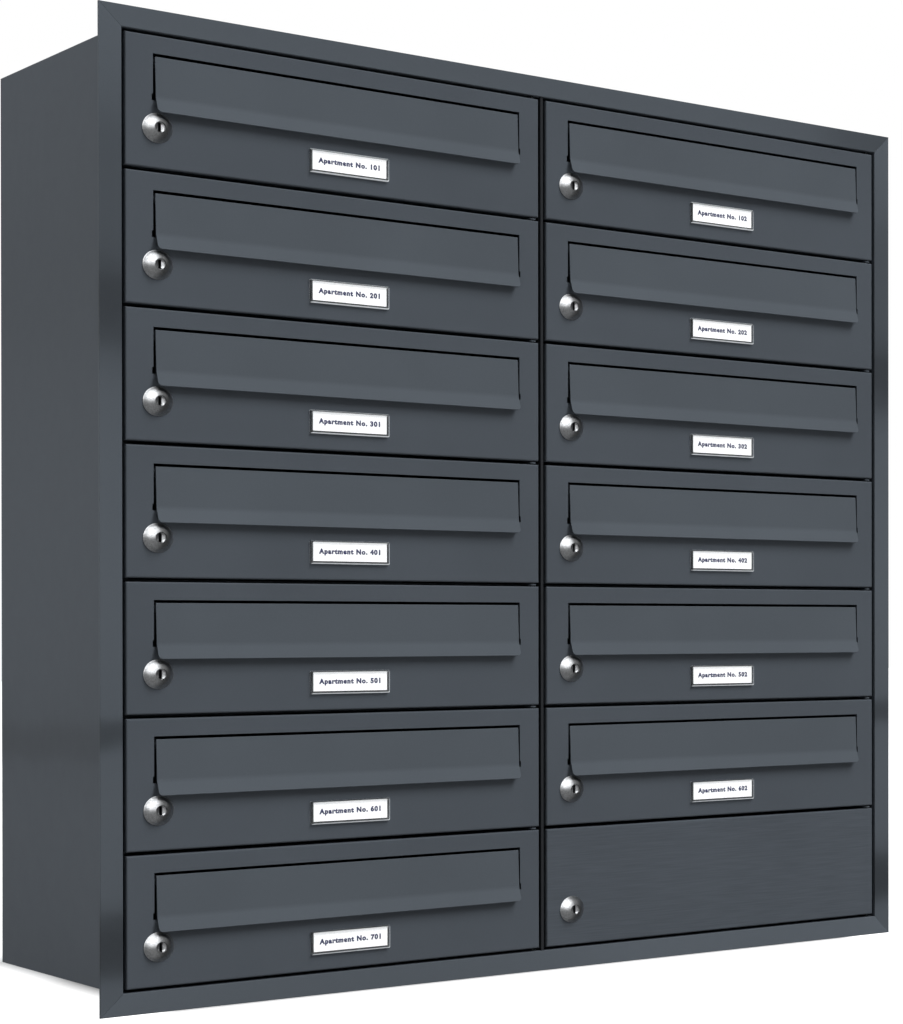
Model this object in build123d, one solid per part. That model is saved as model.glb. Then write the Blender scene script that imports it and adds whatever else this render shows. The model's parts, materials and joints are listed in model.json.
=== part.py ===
"""Flush-mounted cluster mailbox unit: two columns of seven cells behind one trim frame.

Thirteen cells are letter boxes, each with a lockable door, a lifting mail flap and a name plate.
The last cell, bottom right, is closed by a plain service door with a lock.

Frame: the origin is the centre of the rear panel's outer face. +X is to the right as seen from
the front, +Y points out of the back into the wall, and +Z is up. Millimetres.
"""
from build123d import *
import math
import os

# ---- cells -----------------------------------------------------------------------------------
ROWS = 7
ROW_PITCH = 110.0
COLUMN_PITCH = 370.0
CASING_DEPTH = 270.0
TOP = ROWS * ROW_PITCH / 2.0          # height of the top cell boundary above the origin

# ---- gaps seen between the doors, the trim frame and the mullion -------------------------------
DOOR_GAP = 3.2                        # between one door and the door below it
JAMB_GAP = 1.5                        # cell boundary to the door's outer side
MULLION_GAP = 3.7                     # cell boundary to the door's inner side

# ---- casing ------------------------------------------------------------------------------------
SHEET = 1.0
CASING_MARGIN = 2.0                   # casing outer face beyond the outermost cell boundary
SHELF_SHEET = 1.2
SHELF_FRONT = -250.0
TONGUE_WIDTH = 7.0                    # shelf tongue that carries a hinge pin
MULLION_WIDTH = 2.4
MULLION_FRONT = -270.6
JAMB_FRONT = -252.3                   # strike strip that a turned cam catches behind
JAMB_WIDTH = 11.6
FIXING_HOLE_R = 4.25
FIXING_X = 300.0
FIXING_Z = 330.0

# ---- trim frame: four mitred angle bars --------------------------------------------------------
TRIM_OVERLAP = 19.0                   # trim outer edge beyond the outermost cell boundary
TRIM_INSIDE = 0.8                     # how far the flange covers the casing's front edge
TRIM_FLANGE = 2.0
TRIM_LEG = 20.0
TRIM_LEG_SHEET = 1.5
TRIM_EDGE_R = 0.6
MITRE_GAP = 0.1                       # hairline between two bars at a corner

# ---- doors -------------------------------------------------------------------------------------
DOOR_FRONT = -271.5
DOOR_SHEET = 1.5
DOOR_DEPTH = 18.0
DOOR_EDGE_R = 1.4
DOOR_WIDTH = COLUMN_PITCH - JAMB_GAP - MULLION_GAP
DOOR_HEIGHT = ROW_PITCH - DOOR_GAP
HINGE_INSET = 4.5                     # hinge axis from the door's right side and front face
PIN_R = 1.5
PIN_CLEARANCE = 0.05
PIN_REACH = 8.0

# ---- mail slot and flap, measured from the door's left side and from the cell's top ------------
SLOT_LEFT = 22.1
SLOT_WIDTH = 323.7
SLOT_TOP = 16.1
SLOT_BOTTOM = 54.0
SLOT_NOTCH = 1.0                      # corner relief beside the slot's lower corners
SLOT_NOTCH_TOP = 48.6
FLAP_SIDE_GAP = 1.8
FLAP_TOP_GAP = 2.4
FLAP_SHEET = 1.2
FLAP_STRAIGHT = 31.8                  # length of the flat face, from the top edge to the bend
FLAP_LEAN = 2.8                       # degrees that the flat face leans out towards its foot
FLARE_RADIUS = 10.0
FLARE_ANGLE = 22.0                    # degrees that the finger lip leans out
LIP_LENGTH = 10.8
FLAP_CORNER_R = 3.5
FLAP_AXIS_DROP = 3.0                  # hinge axis below the flap's top edge
FLAP_AXIS_DEPTH = 3.4                 # hinge axis behind the flap's front face
FLAP_PIN_R = 1.25
CHEEK_SIZE = 8.0
CHEEK_DEPTH = 6.6
EAR_SHEET = 2.0
EAR_OFFSET = 1.5

# ---- cam lock, centred from the door's left side and from the cell's top -----------------------
LOCK_X = 25.5
LOCK_DROP = 76.0
LOCK_RIM_R = 12.0
LOCK_RIM = 1.0
LOCK_DOME_R = 11.4
LOCK_DOME_HEIGHT = 6.0
BARREL_R = 8.0
BARREL_END = -251.0
BARREL_CLEARANCE = 0.1
PLUG_R = 4.5
PLUG_FRONT = -275.6                   # the plug sits back inside the bored dome
NUT_ACROSS_FLATS = 22.0
NUT_THICKNESS = 4.0
CAM_FRONT = -250.6
CAM_THICKNESS = 2.0
CAM_WIDTH = 12.0
CAM_REACH = 21.0
CAM_SCREW_R = 3.4
CAM_SCREW_HEAD = 2.2
KEYWAY_WIDTH = 1.8
KEYWAY_HEIGHT = 7.0
KEYWAY_DEPTH = 9.0

# ---- name plate, measured from the door's left side and from the cell's top --------------------
PLATE_LEFT = 151.5
PLATE_WIDTH = 70.0
PLATE_TOP = 75.0
PLATE_HEIGHT = 19.6
PLATE_THICKNESS = 3.0
PLATE_BEVEL = 1.2
CARD_MARGIN = 2.2
CARD_THICKNESS = 0.4

HALF_WIDTH = COLUMN_PITCH             # two columns, so one pitch each side of the centre
CASING_X = HALF_WIDTH + CASING_MARGIN
CASING_Z = TOP + CASING_MARGIN
INNER_X = CASING_X - SHEET
INNER_Z = CASING_Z - SHEET
BEHIND = 0.01                         # keeps a cutting tool clear of a coincident face


def slab(x_range, y_range, z_range):
    """A plain rectangular solid between three pairs of limits."""
    size = [high - low for low, high in (x_range, y_range, z_range)]
    centre = [(high + low) / 2 for low, high in (x_range, y_range, z_range)]
    return Pos(*centre) * Box(*size)


def rod(radius, x, z, y_range):
    """A round solid lying along Y."""
    length = y_range[1] - y_range[0]
    place = Pos(x, (y_range[0] + y_range[1]) / 2, z) * Rot(90, 0, 0)
    return place * Cylinder(radius, length)


def post(radius, x, y, z_range):
    """A round solid standing along Z."""
    length = z_range[1] - z_range[0]
    return Pos(x, y, (z_range[0] + z_range[1]) / 2) * Cylinder(radius, length)


def write(name, *solids):
    """Write one node: a single solid, or a group of separate solids."""
    shape = solids[0] if len(solids) == 1 else Compound(children=list(solids))
    export_step(shape, f"parts/{name}.step")


# ---- casing ------------------------------------------------------------------------------------
def casing_shell():
    """Side, top and bottom panels, and the strike strip along the left side."""
    depth = (-CASING_DEPTH, -SHEET)
    return [
        slab((-CASING_X, -INNER_X), depth, (-CASING_Z, CASING_Z)),
        slab((INNER_X, CASING_X), depth, (-CASING_Z, CASING_Z)),
        slab((-INNER_X, INNER_X), depth, (INNER_Z, CASING_Z)),
        slab((-INNER_X, INNER_X), depth, (-CASING_Z, -INNER_Z)),
        strike_strip(-INNER_X),
    ]


def strike_strip(x):
    """A flat vertical strip behind the doors' free edges."""
    return slab((x, x + JAMB_WIDTH), (JAMB_FRONT, JAMB_FRONT + SHEET), (-INNER_Z, INNER_Z))


def rear_panel():
    """The back sheet, with four wall-fixing holes reached through the corner cells."""
    panel = slab((-CASING_X, CASING_X), (-SHEET, 0), (-CASING_Z, CASING_Z))
    for x in (-FIXING_X, FIXING_X):
        for z in (-FIXING_Z, FIXING_Z):
            panel -= rod(FIXING_HOLE_R, x, z, (-2 * SHEET, SHEET))
    return panel


def centre_partition():
    """The wall between the columns, its front mullion, and the right column's strike strip."""
    half_sheet = SHELF_SHEET / 2
    half_mullion = MULLION_WIDTH / 2
    height = (-INNER_Z, INNER_Z)
    return [
        slab((-half_sheet, half_sheet), (JAMB_FRONT, -SHEET), height),
        slab((-half_mullion, half_mullion), (MULLION_FRONT, JAMB_FRONT), height),
        strike_strip(half_sheet),
    ]


def shelf(column, boundary):
    """A cell floor. Its front tongue reaches between two doors and carries their hinge pin."""
    level = TOP - boundary * ROW_PITCH
    half_sheet = SHELF_SHEET / 2
    thickness = (level - half_sheet, level + half_sheet)
    left, right = ((-INNER_X, -half_sheet), (half_sheet, INNER_X))[column]
    plate = slab((left, right), (SHELF_FRONT, -SHEET), thickness)
    x, y = hinge_axis(column)
    half_tongue = TONGUE_WIDTH / 2
    plate += slab((x - half_tongue, x + half_tongue), (y, SHELF_FRONT + SHEET), thickness)
    plate += post(half_tongue, x, y, thickness)
    return plate - post(PIN_R, x, y, (level - SHELF_SHEET, level + SHELF_SHEET))


# ---- hinge pins --------------------------------------------------------------------------------
def hinge_axis(column):
    """Where a column's vertical hinge axis stands."""
    right_side = (-MULLION_GAP, HALF_WIDTH - JAMB_GAP)[column]
    return right_side - HINGE_INSET, DOOR_FRONT + HINGE_INSET


def hinge_pins():
    """One pin through each shelf tongue, and a stud at the top and bottom of each column."""
    pins = []
    for column in (0, 1):
        x, y = hinge_axis(column)
        pins.append(post(PIN_R, x, y, (TOP - PIN_REACH, INNER_Z)))
        pins.append(post(PIN_R, x, y, (-INNER_Z, PIN_REACH - TOP)))
        for boundary in range(1, ROWS):
            level = TOP - boundary * ROW_PITCH
            pins.append(post(PIN_R, x, y, (level - PIN_REACH, level + PIN_REACH)))
    return pins


# ---- trim frame --------------------------------------------------------------------------------
def trim_bar(half_length, offset):
    """One angle bar along X, at offset above the centre, mitred at 45 degrees at both ends.

    half_length and offset are the trim's outer half-size along the bar and across it.
    """
    casing_line = offset - TRIM_OVERLAP + CASING_MARGIN
    inner_line = casing_line - TRIM_INSIDE
    flange_back = -CASING_DEPTH
    flange_front = flange_back - TRIM_FLANGE
    span = (-half_length, half_length)
    flange = slab(span, (flange_front, flange_back), (inner_line, offset))
    front_edges = flange.faces().sort_by(Axis.Y)[0].edges().filter_by(Axis.X)
    flange = fillet(front_edges, TRIM_EDGE_R)
    leg_top = casing_line + TRIM_LEG_SHEET
    bar = flange + slab(span, (flange_back, flange_back + TRIM_LEG), (casing_line, leg_top))
    reach = offset - casing_line + TRIM_LEG_SHEET + TRIM_LEG
    for side in (-1, 1):
        corner = Pos(side * (half_length - MITRE_GAP), flange_back, offset) * Rot(0, side * 45, 0)
        waste = Pos(side * reach, 0, 0) * Box(2 * reach, 4 * TRIM_LEG, 4 * reach)
        bar -= corner * waste
    return bar


def trim_frame():
    """Top, bottom, left and right bars."""
    half_width = HALF_WIDTH + TRIM_OVERLAP
    half_height = TOP + TRIM_OVERLAP
    top = trim_bar(half_width, half_height)
    side = trim_bar(half_height, half_width)
    return [
        top,
        Rot(0, 180, 0) * top,
        Rot(0, -90, 0) * side,
        Rot(0, 90, 0) * side,
    ]


# ---- one cell's moving pieces ------------------------------------------------------------------
class Cell:
    """Where one cell's door stands."""

    def __init__(self, column, row):
        self.left = (JAMB_GAP - HALF_WIDTH, MULLION_GAP)[column]
        self.right = self.left + DOOR_WIDTH
        self.boundary = TOP - row * ROW_PITCH
        self.top = self.boundary - DOOR_GAP / 2
        self.bottom = self.top - DOOR_HEIGHT
        self.lock_x = self.left + LOCK_X
        self.lock_z = self.boundary - LOCK_DROP
        self.slot_left = self.left + SLOT_LEFT
        self.slot_right = self.slot_left + SLOT_WIDTH
        self.slot_top = self.boundary - SLOT_TOP
        self.flap_left = self.slot_left + FLAP_SIDE_GAP
        self.flap_right = self.slot_right - FLAP_SIDE_GAP
        self.flap_top = self.slot_top - FLAP_TOP_GAP
        self.flap_axis_y = DOOR_FRONT + FLAP_AXIS_DEPTH
        self.flap_axis_z = self.flap_top - FLAP_AXIS_DROP


def door_pan(cell):
    """A folded sheet pan, open at the back, bored for its hinge pins and its lock."""
    back = DOOR_FRONT + DOOR_DEPTH
    outer = slab((cell.left, cell.right), (DOOR_FRONT, back), (cell.bottom, cell.top))
    outer = fillet(outer.faces().sort_by(Axis.Y)[0].edges(), DOOR_EDGE_R)
    inside = slab(
        (cell.left + DOOR_SHEET, cell.right - DOOR_SHEET),
        (DOOR_FRONT + DOOR_SHEET, back + DOOR_SHEET),
        (cell.bottom + DOOR_SHEET, cell.top - DOOR_SHEET),
    )
    hinge_x = cell.right - HINGE_INSET
    hinge_y = DOOR_FRONT + HINGE_INSET
    hinge_bore = post(PIN_R + PIN_CLEARANCE, hinge_x, hinge_y, (cell.bottom - PIN_R, cell.top + PIN_R))
    lock_bore = rod(
        BARREL_R + BARREL_CLEARANCE,
        cell.lock_x,
        cell.lock_z,
        (DOOR_FRONT - DOOR_SHEET, DOOR_FRONT + 2 * DOOR_SHEET),
    )
    return outer - inside - hinge_bore - lock_bore


def mail_slot(cell):
    """The cut-out behind the flap, with a relief notch beside each lower corner."""
    through = (DOOR_FRONT - DOOR_SHEET, DOOR_FRONT + 2 * DOOR_SHEET)
    bottom = cell.boundary - SLOT_BOTTOM
    slot = slab((cell.slot_left, cell.slot_right), through, (bottom, cell.slot_top))
    notch_top = cell.boundary - SLOT_NOTCH_TOP
    notches = slab(
        (cell.slot_left - SLOT_NOTCH, cell.slot_right + SLOT_NOTCH), through, (bottom, notch_top)
    )
    return slot + notches


def flap_ears(cell):
    """Two tabs on the door's back, bored for the flap's pins."""
    half_ear = CHEEK_SIZE / 2
    depth = (DOOR_FRONT + DOOR_SHEET - BEHIND, DOOR_FRONT + CHEEK_SIZE)
    height = (cell.flap_axis_z - half_ear, cell.flap_axis_z + half_ear)
    left = cell.slot_left - EAR_OFFSET - EAR_SHEET
    right = cell.slot_right + EAR_OFFSET
    ears = []
    for x in (left, right):
        ear = slab((x, x + EAR_SHEET), depth, height)
        bore = Pos(x, cell.flap_axis_y, cell.flap_axis_z) * Rot(0, 90, 0)
        ears.append(ear - bore * Cylinder(FLAP_PIN_R + PIN_CLEARANCE, 4 * EAR_SHEET))
    return ears


def dome_height(radius):
    """How far the lock's domed front stands off the door at a given radius from its axis."""
    ball_r = (LOCK_DOME_R**2 + LOCK_DOME_HEIGHT**2) / (2 * LOCK_DOME_HEIGHT)
    return LOCK_RIM + LOCK_DOME_HEIGHT - ball_r + math.sqrt(ball_r**2 - radius**2)


def facing_front(cell, y):
    """A placement on the lock's axis whose local +Z points out of the front."""
    return Pos(cell.lock_x, y, cell.lock_z) * Rot(90, 0, 0)


def lock_housing(cell):
    """The fixed part of the lock: a rimmed dome on the front and a bored barrel behind."""
    bore_r = PLUG_R + PIN_CLEARANCE
    middle_r = (bore_r + LOCK_DOME_R) / 2
    end = DOOR_FRONT - BARREL_END
    round_off = LOCK_RIM / 2
    dome_edge = (LOCK_DOME_R, dome_height(LOCK_DOME_R))
    bore_edge = (bore_r, dome_height(bore_r))
    dome = ThreePointArc(dome_edge, (middle_r, dome_height(middle_r)), bore_edge)
    body = Polyline(
        bore_edge,
        (bore_r, end),
        (BARREL_R, end),
        (BARREL_R, 0),
        (LOCK_RIM_R, 0),
        (LOCK_RIM_R, LOCK_RIM - round_off),
        (LOCK_RIM_R - round_off, LOCK_RIM),
        dome_edge,
    )
    turning = revolve(Plane.XZ * make_face([dome, body]), Axis.Z)
    return facing_front(cell, DOOR_FRONT) * turning


def lock_nut(cell):
    """The hexagon nut that clamps the housing behind the door's sheet."""
    y = DOOR_FRONT + DOOR_SHEET + NUT_THICKNESS
    outline = RegularPolygon(NUT_ACROSS_FLATS / 2, 6, major_radius=False)
    nut = extrude(outline, NUT_THICKNESS) - Cylinder(BARREL_R, 4 * NUT_THICKNESS)
    return facing_front(cell, y) * nut


def door(cell, has_slot):
    """A door's solids: the pan, the lock housing and its nut."""
    pan = door_pan(cell)
    if has_slot:
        pan -= mail_slot(cell)
        for ear in flap_ears(cell):
            pan += ear
    return [pan, lock_housing(cell), lock_nut(cell)]


def lock_cam(cell):
    """The turning part of the lock: keyed plug, cam and cam screw. The cam rests pointing down."""
    x, z = cell.lock_x, cell.lock_z
    half_keyway = (KEYWAY_WIDTH / 2, KEYWAY_HEIGHT / 2)
    plug = rod(PLUG_R, x, z, (PLUG_FRONT, CAM_FRONT))
    plug -= slab(
        (x - half_keyway[0], x + half_keyway[0]),
        (PLUG_FRONT - KEYWAY_DEPTH, PLUG_FRONT + KEYWAY_DEPTH),
        (z - half_keyway[1], z + half_keyway[1]),
    )

    cam_depth = (CAM_FRONT, CAM_FRONT + CAM_THICKNESS)
    half_cam = CAM_WIDTH / 2
    cam = slab((x - half_cam, x + half_cam), cam_depth, (z - CAM_REACH + half_cam, z))
    cam += rod(half_cam, x, z, cam_depth) + rod(half_cam, x, z - CAM_REACH + half_cam, cam_depth)
    screw = rod(CAM_SCREW_R, x, z, (cam_depth[1], cam_depth[1] + CAM_SCREW_HEAD))
    return [plug, cam, screw]


def down(angle):
    """Unit step down a face that leans out by an angle, in the YZ plane."""
    return Vector(-math.sin(angle), -math.cos(angle))


def outward(angle):
    """Unit step straight out of a face that leans out by an angle, in the YZ plane."""
    return Vector(-math.cos(angle), math.sin(angle))


def flap_profile():
    """The flap's section in the YZ plane: a leaning flat face that bends out to a finger lip."""
    lean, flare = math.radians(FLAP_LEAN), math.radians(FLARE_ANGLE)
    middle = (lean + flare) / 2
    top = Vector(0, -(SLOT_TOP + FLAP_TOP_GAP))
    bend = top + FLAP_STRAIGHT * down(lean)
    centre = bend + FLARE_RADIUS * outward(lean)
    back_radius = FLARE_RADIUS + FLAP_SHEET
    front_arc = [centre - FLARE_RADIUS * outward(angle) for angle in (lean, middle, flare)]
    back_arc = [centre - back_radius * outward(angle) for angle in (flare, middle, lean)]
    lip = front_arc[-1] + LIP_LENGTH * down(flare)
    back_lip = lip - FLAP_SHEET * outward(flare)
    back_top = top - FLAP_SHEET * outward(lean)
    return [
        Line(top, bend),
        ThreePointArc(*front_arc),
        Line(front_arc[-1], lip),
        Line(lip, back_lip),
        Line(back_lip, back_arc[0]),
        ThreePointArc(*back_arc),
        Line(back_arc[-1], back_top),
        Line(back_top, top),
    ]


def flap(cell):
    """The mail flap: flared sheet, two end cheeks, and a pin standing out of each cheek."""
    section = make_face(flap_profile())
    plane = Plane(
        origin=(cell.flap_left, DOOR_FRONT, cell.boundary), x_dir=(0, 1, 0), z_dir=(1, 0, 0)
    )
    sheet = extrude(plane * section, cell.flap_right - cell.flap_left)
    top_front = sheet.edges().filter_by(Axis.X).group_by(Axis.Z)[-1].sort_by(Axis.Y)[0]
    sheet = fillet(top_front, FLAP_SHEET / 2)
    lip_level = cell.boundary - SLOT_BOTTOM
    lip_ends = [
        edge
        for edge in sheet.edges()
        if edge.center().Z < lip_level and edge.length < 2 * FLAP_SHEET
    ]
    sheet = fillet(lip_ends, FLAP_CORNER_R)

    y, z = cell.flap_axis_y, cell.flap_axis_z
    cheek_depth = (DOOR_FRONT + FLAP_SHEET / 2, DOOR_FRONT + CHEEK_DEPTH)
    cheek_height = (cell.flap_top - CHEEK_SIZE, cell.flap_top)
    pin_length = FLAP_SHEET + FLAP_SIDE_GAP + EAR_OFFSET + EAR_SHEET
    for start, outward in ((cell.flap_left, -1), (cell.flap_right, 1)):
        inner = start - outward * FLAP_SHEET
        cheek = slab(sorted((start, inner)), cheek_depth, cheek_height)
        pin_centre = inner + outward * pin_length / 2
        pin = Pos(pin_centre, y, z) * Rot(0, 90, 0) * Cylinder(FLAP_PIN_R, pin_length)
        sheet = sheet + cheek + pin
    return sheet


def name_plate(cell):
    """A clear bevelled cover with a pocket in its back, and the card that the pocket holds."""
    left = cell.left + PLATE_LEFT
    top = cell.boundary - PLATE_TOP
    front = DOOR_FRONT - PLATE_THICKNESS
    across = (left, left + PLATE_WIDTH)
    upright = (top - PLATE_HEIGHT, top)
    cover = slab(across, (front, DOOR_FRONT), upright)
    cover = chamfer(cover.faces().sort_by(Axis.Y)[0].edges(), PLATE_BEVEL)
    pocket_across = (across[0] + CARD_MARGIN, across[1] - CARD_MARGIN)
    pocket_upright = (upright[0] + CARD_MARGIN, upright[1] - CARD_MARGIN)
    pocket_depth = (DOOR_FRONT - CARD_THICKNESS, DOOR_FRONT)
    card = slab(pocket_across, pocket_depth, pocket_upright)
    return [cover - card, card]


def main():
    os.makedirs("parts", exist_ok=True)
    write("casing_shell", *casing_shell())
    write("rear_panel", rear_panel())
    write("centre_partition", *centre_partition())
    write("shelves", *[shelf(column, b) for column in (0, 1) for b in range(1, ROWS)])
    write("trim_frame", *trim_frame())
    write("hinge_pins", *hinge_pins())

    number = 0
    for column in (0, 1):
        for row in range(ROWS):
            cell = Cell(column, row)
            if (column, row) == (1, ROWS - 1):
                write("service_door", *door(cell, has_slot=False))
                write("service_lock", *lock_cam(cell))
                continue
            number += 1
            write(f"door_{number:02d}", *door(cell, has_slot=True))
            write(f"flap_{number:02d}", flap(cell))
            write(f"lock_{number:02d}", *lock_cam(cell))
            write(f"name_plate_{number:02d}", *name_plate(cell))


main()
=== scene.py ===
"""Looks for the flush-mounted cluster mailbox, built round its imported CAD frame.

Everything is in metres in the part's own frame: the doors face -Y and +Z is up.
"""
import json
import math

import bmesh
import bpy
from mathutils import Matrix, Vector


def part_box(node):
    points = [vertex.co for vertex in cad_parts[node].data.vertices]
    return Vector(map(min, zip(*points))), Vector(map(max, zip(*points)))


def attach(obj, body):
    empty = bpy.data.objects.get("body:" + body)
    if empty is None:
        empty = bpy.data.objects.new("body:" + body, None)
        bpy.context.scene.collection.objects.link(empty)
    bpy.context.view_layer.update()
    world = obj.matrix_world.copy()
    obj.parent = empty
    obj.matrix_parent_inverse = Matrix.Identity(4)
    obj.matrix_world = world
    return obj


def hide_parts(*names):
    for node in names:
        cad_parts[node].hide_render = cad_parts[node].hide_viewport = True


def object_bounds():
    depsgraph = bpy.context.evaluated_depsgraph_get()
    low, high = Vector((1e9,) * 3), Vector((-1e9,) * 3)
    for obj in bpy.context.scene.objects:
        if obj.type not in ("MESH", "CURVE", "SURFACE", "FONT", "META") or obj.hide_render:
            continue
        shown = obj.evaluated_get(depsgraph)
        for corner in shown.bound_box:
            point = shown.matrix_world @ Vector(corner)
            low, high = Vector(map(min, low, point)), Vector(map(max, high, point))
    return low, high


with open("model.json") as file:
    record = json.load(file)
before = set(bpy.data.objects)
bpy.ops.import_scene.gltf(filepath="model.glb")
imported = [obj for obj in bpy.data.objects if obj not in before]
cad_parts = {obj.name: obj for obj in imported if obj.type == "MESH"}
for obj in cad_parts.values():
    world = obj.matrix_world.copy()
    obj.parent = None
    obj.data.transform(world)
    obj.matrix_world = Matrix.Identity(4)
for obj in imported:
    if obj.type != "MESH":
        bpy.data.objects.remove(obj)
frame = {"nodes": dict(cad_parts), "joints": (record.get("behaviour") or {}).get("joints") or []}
cad_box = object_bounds()
NODES = frame["nodes"]
MM = 0.001
BOXES = 13
ROWS = 7

# ---- camera: a view fitted to the outline, in metres, degrees and mm of lens ------------------
CAMERA_PLACE = (-1.127, -2.275, -0.091)
CAMERA_HEADING = 44.74                # to the right of straight ahead (+Y)
CAMERA_DROP = 0.24                    # below the horizon
CAMERA_LENS = 86.1
CAMERA_SHIFT = (-0.747, 0.120)        # in frame lengths, and only at the home place
HOME_TOLERANCE = 0.02                 # the shift is gone this far from home, in metres

# ---- colours, linear ---------------------------------------------------------------------------
ANTHRACITE = (0.064, 0.074, 0.087)
# a lighter copy of the door's anthracite: painted light on the flaps
FLAP_PAINTED_LIGHT_ANTHRACITE = (0.070, 0.081, 0.094)
TRIM_ANTHRACITE = (0.068, 0.079, 0.092)
# darker anthracite: painted shade for the recessed strip between the door columns
PAINTED_SHADE_ANTHRACITE = (0.019, 0.0205, 0.023)
NICKEL = (0.64, 0.645, 0.65)
GUNMETAL = (0.10, 0.105, 0.11)
BLACK_ZINC = (0.022, 0.023, 0.025)
CARD_WHITE = (0.96, 0.965, 0.97)
INK_BLUE = (0.008, 0.012, 0.075)
# dark plastic of the tray, also standing in for the shade along the card's edges
TRAY_BLACK_AND_SHADE = (0.020, 0.021, 0.023)
COVER_GREY = (0.70, 0.73, 0.75)
SATIN_SPECULAR = 0.18
BAND_SPECULAR = 0.30
EDGE_CATCH = (0.6, 0.0, -0.8)         # the way that the cover's edges with a painted highlight face
# strength of the painted glow on those edges
PAINTED_EDGE_GLOW = 0.35

# ---- grain of the paint, in metres --------------------------------------------------------------
CLOUD_SIZE = 0.11
GLOSS_SIZE = 0.03
PEEL_SIZE = 0.0016
PEEL_DEPTH = 0.00002
SPECK_SIZE = 0.00045


# ================================================================================================
# Materials
# ================================================================================================
class Graph:
    """A small helper for building one node tree."""

    def __init__(self, tree):
        self.tree = tree

    def add(self, kind, **settings):
        """Add a node. A setting that names an input sets its value, and any other sets a property."""
        node = self.tree.nodes.new(kind)
        for key, value in settings.items():
            if key in node.inputs:
                self.put(node.inputs[key], value)
            else:
                setattr(node, key, value)
        return node

    def put(self, socket, value):
        """Link a socket, or set its value."""
        if isinstance(value, bpy.types.NodeSocket):
            self.tree.links.new(value, socket)
        else:
            socket.default_value = value

    def spread(self, value, low, high, start=0.3, end=0.7):
        """Map a 0 to 1 pattern onto low to high."""
        node = self.add("ShaderNodeMapRange")
        self.put(node.inputs["Value"], value)
        for key, number in (("From Min", start), ("From Max", end), ("To Min", low), ("To Max", high)):
            node.inputs[key].default_value = number
        return node.outputs["Result"]

    def math(self, operation, a, b):
        """Arithmetic on two values."""
        node = self.add("ShaderNodeMath", operation=operation)
        self.put(node.inputs[0], a)
        self.put(node.inputs[1], b)
        return node.outputs[0]

    def tint(self, colour, factor):
        """A colour multiplied by a varying factor."""
        node = self.add("ShaderNodeVectorMath", operation="SCALE")
        node.inputs[0].default_value = colour
        self.put(node.inputs["Scale"], factor)
        return node.outputs[0]

    def bump(self, height, distance, normal=None):
        """A surface normal, roughened by a height pattern that is distance metres deep."""
        node = self.add("ShaderNodeBump", Distance=distance, Strength=1.0)
        self.put(node.inputs["Height"], height)
        if normal is not None:
            self.put(node.inputs["Normal"], normal)
        return node.outputs["Normal"]


class Paint(Graph):
    """The node tree of one new material, patterned by the object's own coordinates."""

    def __init__(self, name):
        self.material = bpy.data.materials.new(name)
        self.material.use_nodes = True
        super().__init__(self.material.node_tree)
        self.shader = self.tree.nodes["Principled BSDF"]
        self.place = self.add("ShaderNodeTexCoord").outputs["Object"]

    def stretched(self, scale):
        """The object's own coordinates, scaled along each axis."""
        mapping = self.add("ShaderNodeMapping", Vector=self.place)
        mapping.inputs["Scale"].default_value = scale
        return mapping.outputs["Vector"]

    def noise(self, size, detail=3.0, roughness=0.5, vector=None):
        """Noise whose features are about size metres across, from 0 to 1."""
        node = self.add(
            "ShaderNodeTexNoise", Scale=1.0 / size, Detail=detail, Roughness=roughness,
            Vector=vector or self.place,
        )
        return node.outputs["Fac"]

    def finish(self, **inputs):
        """Set the shader's inputs, where an underscore stands for a space, and give the material."""
        for key, value in inputs.items():
            self.put(self.shader.inputs[key.replace("_", " ")], value)
        return self.material


def powder_coat(name, colour, roughness):
    """Satin powder coat: a fine orange-peel skin with slight cloudiness in colour and gloss."""
    g = Paint(name)
    cloud = g.noise(CLOUD_SIZE, detail=2.0)
    fine = g.noise(PEEL_SIZE, detail=2.0)
    speck = g.noise(SPECK_SIZE, detail=1.0)
    factor = g.math("ADD", g.spread(cloud, 0.96, 1.04), g.spread(speck, -0.05, 0.05))
    gloss = g.spread(g.noise(GLOSS_SIZE), roughness - 0.03, roughness + 0.04)
    skin = g.bump(fine, PEEL_DEPTH)
    return g.finish(
        Base_Color=g.tint(colour, factor), Roughness=gloss, Normal=skin,
        Specular_IOR_Level=SATIN_SPECULAR,
    )


def reflection_banded_coat(name, colour, roughness, bands, axis="Z"):
    """Satin coat with a painted reflection: its tone drifts along a bar, as a long folded sheet
    mirrors its surroundings.

    bands lists (place along the axis in metres, tone) in rising order.
    """
    g = Paint(name)
    low, high = bands[0][0], bands[-1][0]
    place = g.add("ShaderNodeSeparateXYZ", Vector=g.place).outputs[axis]
    wander = g.spread(g.noise(0.05), -0.004, 0.004)
    along = g.spread(g.math("ADD", place, wander), 0.0, 1.0, low, high)
    ramp = g.add("ShaderNodeFloatCurve")
    g.put(ramp.inputs["Value"], along)
    curve = ramp.mapping.curves[0]
    places = [((z - low) / (high - low), tone / FULL_TONE) for z, tone in bands]
    while len(curve.points) < len(places):
        curve.points.new(0.5, 0.5)
    for point, place in zip(curve.points, places):
        point.location = place
    ramp.mapping.update()
    tone = g.math("MULTIPLY", ramp.outputs["Value"], FULL_TONE)
    speck = g.spread(g.noise(SPECK_SIZE, detail=1.0), -0.04, 0.04)
    gloss = g.spread(g.noise(GLOSS_SIZE), roughness - 0.03, roughness + 0.04)
    return g.finish(
        Base_Color=g.tint(colour, g.math("ADD", tone, speck)), Roughness=gloss,
        Normal=g.bump(g.noise(PEEL_SIZE, detail=2.0), PEEL_DEPTH), Specular_IOR_Level=BAND_SPECULAR,
    )


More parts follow.
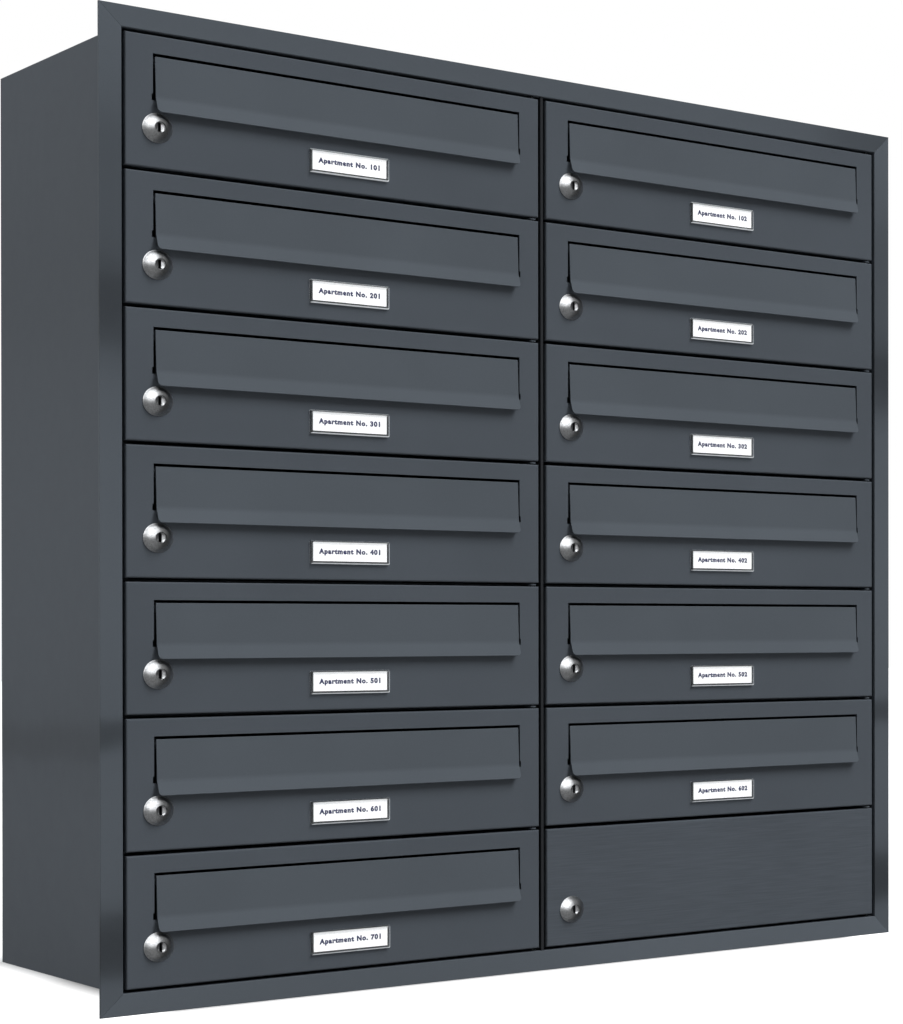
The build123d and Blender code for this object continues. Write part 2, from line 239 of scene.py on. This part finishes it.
def brushed_coat(name, colour, roughness):
    """Coated sheet whose level brush grain shows faintly through the paint."""
    g = Paint(name)
    grain = g.noise(0.0011, detail=3.0, vector=g.stretched((0.03, 1.0, 1.0)))
    cloud = g.noise(CLOUD_SIZE, detail=2.0)
    factor = g.math("ADD", g.spread(cloud, 0.97, 1.03), g.spread(grain, -0.10, 0.10))
    gloss = g.spread(grain, roughness - 0.05, roughness + 0.06)
    return g.finish(
        Base_Color=g.tint(colour, factor), Roughness=gloss, Normal=g.bump(grain, 0.00004),
        Specular_IOR_Level=SATIN_SPECULAR,
    )


def nickel_plate(name):
    """Bright nickel with a fine brushed haze and small pits."""
    g = Paint(name)
    brush = g.noise(0.00022, detail=2.0, vector=g.stretched((1.0, 1.0, 0.12)))
    haze = g.noise(0.0016, detail=4.0, roughness=0.7)
    factor = g.math("ADD", g.spread(haze, 0.62, 1.08), g.spread(brush, -0.10, 0.10))
    gloss = g.spread(haze, 0.44, 0.26)
    return g.finish(
        Base_Color=g.tint(NICKEL, factor), Metallic=1.0, Roughness=gloss,
        Normal=g.bump(haze, 0.00006, normal=g.bump(brush, 0.000012)),
    )


def dark_metal(name, colour):
    """Dark passivated metal with soft spangle."""
    g = Paint(name)
    cells = g.add("ShaderNodeTexVoronoi", Scale=160.0, Vector=g.place).outputs["Color"]
    value = g.add("ShaderNodeSeparateColor", Color=cells).outputs[0]
    return g.finish(
        Base_Color=g.tint(colour, g.spread(value, 0.8, 1.2, 0.0, 1.0)), Metallic=0.7,
        Roughness=g.spread(value, 0.40, 0.55, 0.0, 1.0),
    )


def card_with_painted_glow(name):
    """White card with a faint fibre and a faint painted glow that lifts it brighter."""
    g = Paint(name)
    fibre = g.noise(0.0004, detail=4.0)
    # the emission is a painted glow; the card is no lamp
    return g.finish(
        Base_Color=g.tint(CARD_WHITE, g.spread(fibre, 0.97, 1.01)), Roughness=0.75,
        Normal=g.bump(fibre, 0.00001), Emission_Color=(*CARD_WHITE, 1), Emission_Strength=0.2,
    )


def ink(name):
    """Dark blue print that covers unevenly."""
    g = Paint(name)
    cover = g.noise(0.0005)
    return g.finish(Base_Color=g.tint(INK_BLUE, g.spread(cover, 0.8, 1.3)), Roughness=0.6)


def clear_cover(name):
    """Clear acrylic: nearly invisible face on, with a painted highlight and glow on its lower and
    right edges.
    """
    g = Paint(name)
    facing = g.add("ShaderNodeTexCoord").outputs["Normal"]
    edge = g.add("ShaderNodeVectorMath", operation="DOT_PRODUCT")
    g.put(edge.inputs[0], facing)
    edge.inputs[1].default_value = EDGE_CATCH
    lit = g.spread(edge.outputs["Value"], 0.0, 1.0, 0.15, 0.55)
    haze = g.noise(0.004)
    alpha = g.math("ADD", g.math("MULTIPLY", lit, 0.85), g.spread(haze, 0.03, 0.06))
    return g.finish(
        Base_Color=g.tint(COVER_GREY, g.spread(haze, 0.92, 1.05)), Roughness=0.08, Alpha=alpha,
        Emission_Color=(*COVER_GREY, 1), Emission_Strength=g.math("MULTIPLY", lit, PAINTED_EDGE_GLOW),
    )


def floor_with_painted_shadow(name):
    """Pale backdrop card that the camera sees lifted to white, with a painted shadow under the casing
    and just behind it, where only part of the lift is left.
    """
    g = Paint(name)
    mottle = g.noise(0.35)
    low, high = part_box("casing_shell")
    place = g.add("ShaderNodeSeparateXYZ", Vector=g.place).outputs
    across = g.math("ABSOLUTE", place["X"], 0.0)
    side_start, side_end = (high.x - inset for inset in FLOOR_SIDE_INSETS)
    rear_start, rear_end = (high.y + reach for reach in FLOOR_REAR_REACHES)
    beside = g.spread(across, 0.0, 1.0, side_start, side_end)
    before = g.spread(place["Y"], 1.0, 0.0, low.y - FLOOR_FRONT_FADE, low.y)
    behind = g.spread(place["Y"], 0.0, 1.0, rear_start, rear_end)
    # painted shadow: the lift is held back to FLOOR_SHADE over the casing's footprint
    beside = g.math("MAXIMUM", beside, FLOOR_SHADE)
    clear = g.math("MAXIMUM", beside, g.math("MAXIMUM", before, behind))
    seen = g.add("ShaderNodeLightPath").outputs["Is Camera Ray"]
    lift = g.math("MULTIPLY", g.math("MULTIPLY", seen, clear), FLOOR_LIFT)
    return g.finish(
        Base_Color=g.tint(FLOOR_GREY, g.spread(mottle, 0.99, 1.0)), Roughness=0.9,
        Emission_Color=(1, 1, 1, 1), Emission_Strength=lift,
    )


FLOOR_GREY = (0.50, 0.50, 0.50)
FLOOR_LIFT = 1.0
FLOOR_SHADE = 0.22                     # how much of the lift is left in the painted shadow under the casing
FLOOR_SIDE_INSETS = (0.050, 0.024)    # the painted shadow fades out between these, inside the casing's sides
FLOOR_FRONT_FADE = 0.02               # and over this distance in front of the casing
FLOOR_REAR_REACHES = (0.09, 0.20)     # and between these distances behind it
SKIN = 0.1 * MM                        # faces within this of the casing's side are its outer skin
FULL_TONE = 1.5                       # the tone at the top of a band curve
# painted reflections: tone by height along the trim's side bars, darker in bands where the bars mirror
# dark surroundings
TRIM_REFLECTION_BANDS = (
    (-0.404, 1.0), (-0.385, 0.96), (-0.368, 0.62), (-0.350, 0.46), (-0.333, 0.54), (-0.315, 0.90),
    (-0.300, 1.0), (-0.200, 1.02), (-0.178, 0.60), (-0.158, 1.0), (0.080, 1.06), (0.115, 0.92),
    (0.140, 0.60), (0.168, 0.50), (0.190, 0.64), (0.225, 0.80), (0.290, 0.82), (0.330, 0.98),
    (0.404, 1.15),
)
# painted reflection: the trim's top bar darkens towards its right end
TOP_REFLECTION_BANDS = ((-0.389, 1.06), (0.0, 1.0), (0.27, 1.0), (0.335, 0.80), (0.389, 0.74))
# painted light: the trim's bottom bar is painted brighter, more so towards its right end
BASE_PAINTED_LIGHT_BANDS = ((-0.389, 1.14), (0.0, 1.14), (0.08, 1.24), (0.30, 1.24), (0.389, 1.32))
# painted reflections: tone by height on the casing's outer sides
CASING_REFLECTION_BANDS = (
    (-0.390, 1.0), (-0.260, 1.06), (-0.212, 0.98), (-0.190, 0.78), (-0.166, 0.98), (0.0, 1.04),
    (0.10, 0.98), (0.19, 0.88), (0.27, 0.92), (0.39, 1.02),
)
DOOR_COAT = powder_coat("door_coat", ANTHRACITE, 0.52)
# painted light: the flaps share the door's paint, and are coloured lighter to look brighter
FLAP_PAINTED_LIGHT_COAT = powder_coat("flap_painted_light_coat", FLAP_PAINTED_LIGHT_ANTHRACITE, 0.50)
# the casing's outer sides carry painted reflections in their tone
CASING_REFLECTION_COAT = reflection_banded_coat("casing_reflection_coat", ANTHRACITE, 0.50, CASING_REFLECTION_BANDS)
# painted shade: the centre partition is coloured darker to stand for the shade in its recess
PARTITION_PAINTED_SHADE_COAT = powder_coat("partition_painted_shade_coat", PAINTED_SHADE_ANTHRACITE, 0.60)
# the trim's bars carry painted reflections in their tone, and the bottom bar painted light
TRIM_TOP_REFLECTION_COAT = reflection_banded_coat("trim_top_reflection_coat", TRIM_ANTHRACITE, 0.36, TOP_REFLECTION_BANDS, "X")
TRIM_BASE_PAINTED_LIGHT_COAT = reflection_banded_coat("trim_base_painted_light_coat", TRIM_ANTHRACITE, 0.36, BASE_PAINTED_LIGHT_BANDS, "X")
TRIM_SIDE_REFLECTION_COAT = reflection_banded_coat("trim_side_reflection_coat", TRIM_ANTHRACITE, 0.36, TRIM_REFLECTION_BANDS)
SERVICE_COAT = brushed_coat("service_coat", ANTHRACITE, 0.48)
LOCK_METAL = nickel_plate("lock_nickel")
PIN_METAL = dark_metal("pin_black_zinc", BLACK_ZINC)
PLUG_METAL = dark_metal("plug_dark_nickel", GUNMETAL)
CARD = card_with_painted_glow("card_with_painted_glow")
INK = ink("card_ink")
# the tray's black also paints shade along the card's edges
TRAY = powder_coat("tray_plastic_and_shade", TRAY_BLACK_AND_SHADE, 0.40)
COVER = clear_cover("cover_acrylic")


def dress(node, *materials):
    """Give a CAD node these material slots."""
    slots = NODES[node].data.materials
    slots.clear()
    for material in materials:
        slots.append(material)


def smooth(node, angle=30.0):
    """Round shading over a CAD node's curved faces, and crisp edges elsewhere."""
    mesh = NODES[node].data
    mesh.polygons.foreach_set("use_smooth", [True] * len(mesh.polygons))
    mesh.set_sharp_from_angle(angle=math.radians(angle))


# ================================================================================================
# Mesh helpers
# ================================================================================================
JOIN = 0.001                           # rings that meet within this are one, in mm


def rounded_rectangle(centre_x, centre_z, width, height, radius, steps=6):
    """Corner-rounded outline in the XZ plane, anticlockwise from the front."""
    points = []
    for quarter, (side_x, side_z) in enumerate(((1, 1), (-1, 1), (-1, -1), (1, -1))):
        corner_x = centre_x + side_x * (width / 2 - radius)
        corner_z = centre_z + side_z * (height / 2 - radius)
        for step in range(steps + 1):
            turn = math.radians(90 * (quarter + step / steps))
            points.append((corner_x + radius * math.cos(turn), corner_z + radius * math.sin(turn)))
    return points


def loft(bm, outlines, close_start=False, close_end=False, material=0):
    """Skin a list of (outline, y) rings, in order."""
    rings = [[bm.verts.new((x, y, z)) for x, z in outline] for outline, y in outlines]
    for ring, following in zip(rings, rings[1:]):
        for i in range(len(ring)):
            j = (i + 1) % len(ring)
            face = bm.faces.new((ring[i], ring[j], following[j], following[i]))
            face.material_index = material
            face.smooth = True
    for wanted, ring in ((close_start, rings[0]), (close_end, rings[-1])):
        if wanted:
            bm.faces.new(ring).material_index = material


def piece(name, bm, body, slot, *materials):
    """Turn a bmesh into a named piece that rides on a body."""
    bmesh.ops.remove_doubles(bm, verts=bm.verts, dist=JOIN * MM)
    bmesh.ops.recalc_face_normals(bm, faces=bm.faces)
    mesh = bpy.data.meshes.new(name)
    bm.to_mesh(mesh)
    bm.free()
    for material in materials:
        mesh.materials.append(material)
    thing = bpy.data.objects.new(name, mesh)
    bpy.context.scene.collection.objects.link(thing)
    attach(thing, body)
    return thing


# ================================================================================================
# CAD nodes
# ================================================================================================
dress("casing_shell", DOOR_COAT, CASING_REFLECTION_COAT)
casing_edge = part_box("casing_shell")[1].x
# the casing's outer skin takes the coat with painted reflections
for polygon in NODES["casing_shell"].data.polygons:
    polygon.material_index = int(casing_edge - abs(polygon.center.x) < SKIN)
for node in ("rear_panel", "shelves"):
    dress(node, DOOR_COAT)
# painted shade on the centre partition
dress("centre_partition", PARTITION_PAINTED_SHADE_COAT)
dress("trim_frame", TRIM_TOP_REFLECTION_COAT, TRIM_BASE_PAINTED_LIGHT_COAT, TRIM_SIDE_REFLECTION_COAT)
trim_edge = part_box("trim_frame")[1]
# the trim's side, top and bottom bars each take their coat with painted reflections or painted light
for polygon in NODES["trim_frame"].data.polygons:
    centre = polygon.center
    from_side = trim_edge.x - abs(centre.x)
    from_end = trim_edge.z - abs(centre.z)
    polygon.material_index = 2 if from_side < from_end else int(centre.z < 0)
dress("hinge_pins", PIN_METAL)

JOINT_PLACES = {joint["child"]: joint["pos_m"] for joint in frame["joints"]}
CAM_REACH = 5 * MM                     # cam and cam screw lie within this of the screw's back
LOCK_REACH = 12.9 * MM                # lock housing and nut lie within this of the lock's axis


def nickel_lock(node, lock_body):
    """Nickel on the door's lock housing and nut, and paint on the rest of the door."""
    mesh = NODES[node].data
    axis_x, _, axis_z = JOINT_PLACES[lock_body]
    near = [
        math.hypot(vertex.co.x - axis_x, vertex.co.z - axis_z) < LOCK_REACH
        for vertex in mesh.vertices
    ]
    for polygon in mesh.polygons:
        polygon.material_index = int(all(near[i] for i in polygon.vertices))


def dark_plug(node):
    """Dark metal on the plug, and nickel on the cam and its screw."""
    mesh = NODES[node].data
    cam_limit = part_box(node)[1].y - CAM_REACH
    for polygon in mesh.polygons:
        polygon.material_index = int(polygon.center.y < cam_limit)


for number in range(1, BOXES + 1):
    dress(f"door_{number:02d}", DOOR_COAT, LOCK_METAL)
    nickel_lock(f"door_{number:02d}", f"box_{number:02d}_lock")
    dress(f"flap_{number:02d}", FLAP_PAINTED_LIGHT_COAT)
    dress(f"lock_{number:02d}", LOCK_METAL, PLUG_METAL)
    dark_plug(f"lock_{number:02d}")
dress("service_door", SERVICE_COAT, LOCK_METAL)
nickel_lock("service_door", "service_lock")
dress("service_lock", LOCK_METAL, PLUG_METAL)
dark_plug("service_lock")

for node in NODES:
    smooth(node)


# ================================================================================================
# Lock faces
# ================================================================================================
FACE_DEPTH = 1.5
FACE_RINGS = (                         # outline width and height, and depth behind the face's front
    (8.7, 8.7, FACE_DEPTH), (8.7, 8.7, 0.15), (8.3, 8.4, 0.0), (6.6, 8.0, 0.25), (4.6, 7.7, 0.7),
    (2.9, 7.4, 1.2), (1.9, 7.1, FACE_DEPTH), (8.7, 8.7, FACE_DEPTH),
)


def lock_face(body, node):
    """The dished nickel face that is pressed onto the front of the plug, open at the keyway."""
    axis_x, _, axis_z = JOINT_PLACES[body]
    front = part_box(node)[0].y - FACE_DEPTH * MM
    rings = []
    for width, height, depth in FACE_RINGS:
        outline = rounded_rectangle(axis_x, axis_z, width * MM, height * MM, width / 2 * MM)
        rings.append((outline, front + depth * MM))
    bm = bmesh.new()
    loft(bm, rings)
    piece(f"{node}_face", bm, body, "lock_metal", LOCK_METAL)


for number in range(1, BOXES + 1):
    lock_face(f"box_{number:02d}_lock", f"lock_{number:02d}")
lock_face("service_lock", "service_lock")


# ================================================================================================
# Name plates
# ================================================================================================
CARD_INSETS = (2.5, 2.4, 2.3, 1.1)    # left, right, bottom and top, inside the plate's outline
TRAY_INSET = 0.9
TRAY_DEPTH = 2.0
RIM_STEPS = (                         # inset from the outline, and depth behind the front face
    (0.6, 1.15), (0.6, 3.0), (0.0, 3.0), (0.0, 1.2), (0.3, 0.5), (0.9, 0.1), (1.3, 0.0),
    (1.6, 0.25), (1.7, 0.8),
)
CARD_DEPTH = 1.3
COVER_CORNER = 0.9
CARD_CORNER = 0.3
TRAY_CORNER = 0.5
TEXT_SIZE = 5.7
TEXT_SPACING = 1.2
TEXT_WEIGHT = 0.36
TEXT_DEPTH = 0.03
UPRIGHT = Matrix.Rotation(math.radians(90), 4, "X")


def plate_outline(low, high, insets, radius):
    """The plate's outline, set in by (left, right, bottom, top) millimetres."""
    left, right, bottom, top = insets
    x_range = (low.x + left * MM, high.x - right * MM)
    z_range = (low.z + bottom * MM, high.z - top * MM)
    return rounded_rectangle(
        sum(x_range) / 2, sum(z_range) / 2,
        x_range[1] - x_range[0], z_range[1] - z_range[0], radius * MM,
    )


def plate_cover(tag, low, high):
    """The clear bevelled cover, which takes the place of the CAD plate."""
    bm = bmesh.new()
    rings = []
    for inset, depth in RIM_STEPS:
        outline = plate_outline(low, high, [inset] * 4, COVER_CORNER)
        rings.append((outline, low.y + depth * MM))
    loft(bm, rings, close_start=True, close_end=True)
    cover = piece(f"name_plate_cover_{tag}", bm, f"box_{tag}_door", "plate_plastic", COVER)
    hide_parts(f"name_plate_{tag}")


def plate_card(tag, low, high):
    """The card and the dark tray behind it, whose black border round the card also paints the shade
    along its edges. Gives the middle of the card's face.
    """
    card = plate_outline(low, high, CARD_INSETS, CARD_CORNER)
    card_front = low.y + CARD_DEPTH * MM
    tray = plate_outline(low, high, [TRAY_INSET] * 4, TRAY_CORNER)
    tray_front = low.y + TRAY_DEPTH * MM
    bm = bmesh.new()
    rings = [(tray, high.y), (tray, tray_front), (card, tray_front)]
    loft(bm, rings, close_start=True, material=1)
    loft(bm, [(card, tray_front), (card, card_front)], close_end=True)
    piece(f"name_card_{tag}", bm, f"box_{tag}_door", "plate_plastic", CARD, TRAY)
    card_x = sum(x for x, _ in card) / len(card)
    card_z = sum(z for _, z in card) / len(card)
    return card_x, card_front, card_z


def plate_print(tag, label, middle):
    """A line of print on the card's face."""
    curve = bpy.data.curves.new("print", "FONT")
    curve.body = label
    curve.size = TEXT_SIZE * MM
    curve.align_x, curve.align_y = "CENTER", "CENTER"
    curve.offset = TEXT_WEIGHT * MM
    curve.space_character = TEXT_SPACING
    curve.extrude = TEXT_DEPTH * MM
    curve.resolution_u = 3
    text = bpy.data.objects.new("print", curve)
    x, front, z = middle
    place = Matrix.Translation((x, front - TEXT_DEPTH * MM, z))
    bm = bmesh.new()
    bm.from_mesh(text.to_mesh())
    bmesh.ops.transform(bm, matrix=place @ UPRIGHT, verts=bm.verts)
    bpy.data.objects.remove(text)
    piece(f"name_print_{tag}", bm, f"box_{tag}_door", "plate_plastic", INK)


def name_plate(number, label):
    """One door's name plate: cover, card and print."""
    tag = f"{number:02d}"
    low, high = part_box(f"name_plate_{tag}")
    plate_cover(tag, low, high)
    middle = plate_card(tag, low, high)
    plate_print(tag, label, middle)


for number in range(1, BOXES + 1):
    column, row = divmod(number - 1, ROWS)
    name_plate(number, f"Apartment No. {row + 1}{column + 1:02d}")


# ================================================================================================
# Studio
# ================================================================================================
SKY = (0.97, 0.985, 1.0, 1)
SKY_STRENGTH = 0.205
GLOSS_BASE = 0.24
GLOSS_DARK = 0.05
GLOW_TOWARDS = (-0.50, -0.52, 0.72)
GLOW_SPREAD = (27, 46)
GLOW_STRENGTH = 2.3
DARK_TOWARDS = (0.86, 0.16, -0.46)
DARK_SPREAD = (44, 76)
KEY_FROM = (0.43, -0.54, 0.72)
KEY_DISTANCE = 20.0
KEY_SIZE = (6.2, 12.4)
KEY_POWER = 5300
FLOOR_REACH = 12.0
SIDE_FILL = {"place": (-3.4, 1.3, 0.5), "size": (1.6, 1.6), "power": 47, "colour": (0.93, 0.97, 1.0)}
SIDE_AIM_Y = -0.1
REAR_FILL = {"place": (1.4, 3.4, 1.3), "size": (1.8, 1.8), "power": 60, "colour": (0.95, 0.98, 1.0)}


def studio_floor():
    """A pale floor under the trim frame, wide enough to run out of view."""
    level = cad_box[0][2]
    bm = bmesh.new()
    corners = ((-1, -1), (1, -1), (1, 1), (-1, 1))
    bm.faces.new([bm.verts.new((x * FLOOR_REACH, y * FLOOR_REACH, level)) for x, y in corners])
    mesh = bpy.data.meshes.new("studio_floor")
    bm.to_mesh(mesh)
    bm.free()
    mesh.materials.append(floor_with_painted_shadow("floor_with_painted_shadow"))
    floor = bpy.data.objects.new("studio_floor", mesh)
    floor.visible_glossy = False
    bpy.context.scene.collection.objects.link(floor)


def softbox(name, place, aim, size, power, colour=(1, 1, 1)):
    """A rectangular soft light at a place, aimed at another."""
    light = bpy.data.lights.new(name, "AREA")
    light.shape = "RECTANGLE"
    light.size, light.size_y = size
    light.energy = power
    light.color = colour
    lamp = bpy.data.objects.new(name, light)
    lamp.location = place
    lamp.rotation_euler = (Vector(aim) - Vector(place)).to_track_quat("-Z", "Y").to_euler()
    bpy.context.scene.collection.objects.link(lamp)
    return lamp


def studio_world():
    """White to the camera, an even soft sky to matt paint, and shaped reflections to gloss."""
    world = bpy.data.worlds.new("studio")
    bpy.context.scene.world = world
    world.use_nodes = True
    g = Graph(world.node_tree)
    g.tree.nodes.clear()
    toward = g.add("ShaderNodeTexCoord").outputs["Generated"]
    path = g.add("ShaderNodeLightPath")

    def lobe(direction, inner, outer):
        """1 within inner degrees of a direction, fading to 0 at outer degrees."""
        dot = g.add("ShaderNodeVectorMath", operation="DOT_PRODUCT")
        g.put(dot.inputs[0], toward)
        dot.inputs[1].default_value = Vector(direction).normalized()
        edges = (math.cos(math.radians(outer)), math.cos(math.radians(inner)))
        return g.spread(dot.outputs["Value"], 0.0, 1.0, *edges)

    glow = g.math("MULTIPLY", lobe(GLOW_TOWARDS, *GLOW_SPREAD), GLOW_STRENGTH)
    dark = g.math("MULTIPLY", lobe(DARK_TOWARDS, *DARK_SPREAD), GLOSS_BASE - GLOSS_DARK)
    shaped = g.math("ADD", g.math("SUBTRACT", GLOSS_BASE, dark), glow)
    even = g.add("ShaderNodeBackground", Color=SKY, Strength=SKY_STRENGTH)
    gloss = g.add("ShaderNodeBackground", Color=SKY, Strength=shaped)
    seen = g.add("ShaderNodeBackground", Color=(1, 1, 1, 1))
    unseen = g.add("ShaderNodeMixShader")
    result = g.add("ShaderNodeMixShader")
    output = g.add("ShaderNodeOutputWorld")
    g.put(unseen.inputs[0], path.outputs["Is Glossy Ray"])
    g.put(unseen.inputs[1], even.outputs[0])
    g.put(unseen.inputs[2], gloss.outputs[0])
    g.put(result.inputs[0], path.outputs["Is Camera Ray"])
    g.put(result.inputs[1], unseen.outputs[0])
    g.put(result.inputs[2], seen.outputs[0])
    g.put(output.inputs["Surface"], result.outputs[0])


def shift_at_home(camera, prop, value):
    """Lens shift that holds only while the camera stands at its home place."""
    curve = camera.data.driver_add(prop)
    for modifier in list(curve.modifiers):
        curve.modifiers.remove(modifier)
    driver = curve.driver
    driver.type = "AVERAGE"
    variable = driver.variables.new()
    variable.type = "TRANSFORMS"
    target = variable.targets[0]
    target.id = camera
    target.transform_type = "LOC_X"
    home = CAMERA_PLACE[0]
    curve.keyframe_points.add(3)
    for point, (offset, number) in zip(curve.keyframe_points, ((-1, 0), (0, value), (1, 0))):
        point.co = (home + offset * HOME_TOLERANCE, number)
        point.interpolation = "LINEAR"
    curve.extrapolation = "CONSTANT"
    curve.update()


def studio_camera():
    """The camera at its home place."""
    data = bpy.data.cameras.new("camera")
    data.lens = CAMERA_LENS
    camera = bpy.data.objects.new("camera", data)
    camera.location = CAMERA_PLACE
    camera.rotation_euler = (math.radians(90 - CAMERA_DROP), 0, math.radians(-CAMERA_HEADING))
    bpy.context.scene.collection.objects.link(camera)
    bpy.context.scene.camera = camera
    shift_at_home(camera, "shift_x", CAMERA_SHIFT[0])
    shift_at_home(camera, "shift_y", CAMERA_SHIFT[1])


studio_floor()
studio_world()
aim = Vector((0, cad_box[0][1], 0))
key = softbox("key", aim + KEY_DISTANCE * Vector(KEY_FROM), aim, KEY_SIZE, KEY_POWER)
key.visible_glossy = False             # the sky alone shapes the reflections
softbox("side_fill", aim=(cad_box[0][0], SIDE_AIM_Y, 0), **SIDE_FILL)
softbox("rear_fill", aim=(0, 0, 0), **REAR_FILL)
studio_camera()
bpy.context.scene.view_settings.view_transform = "Standard"
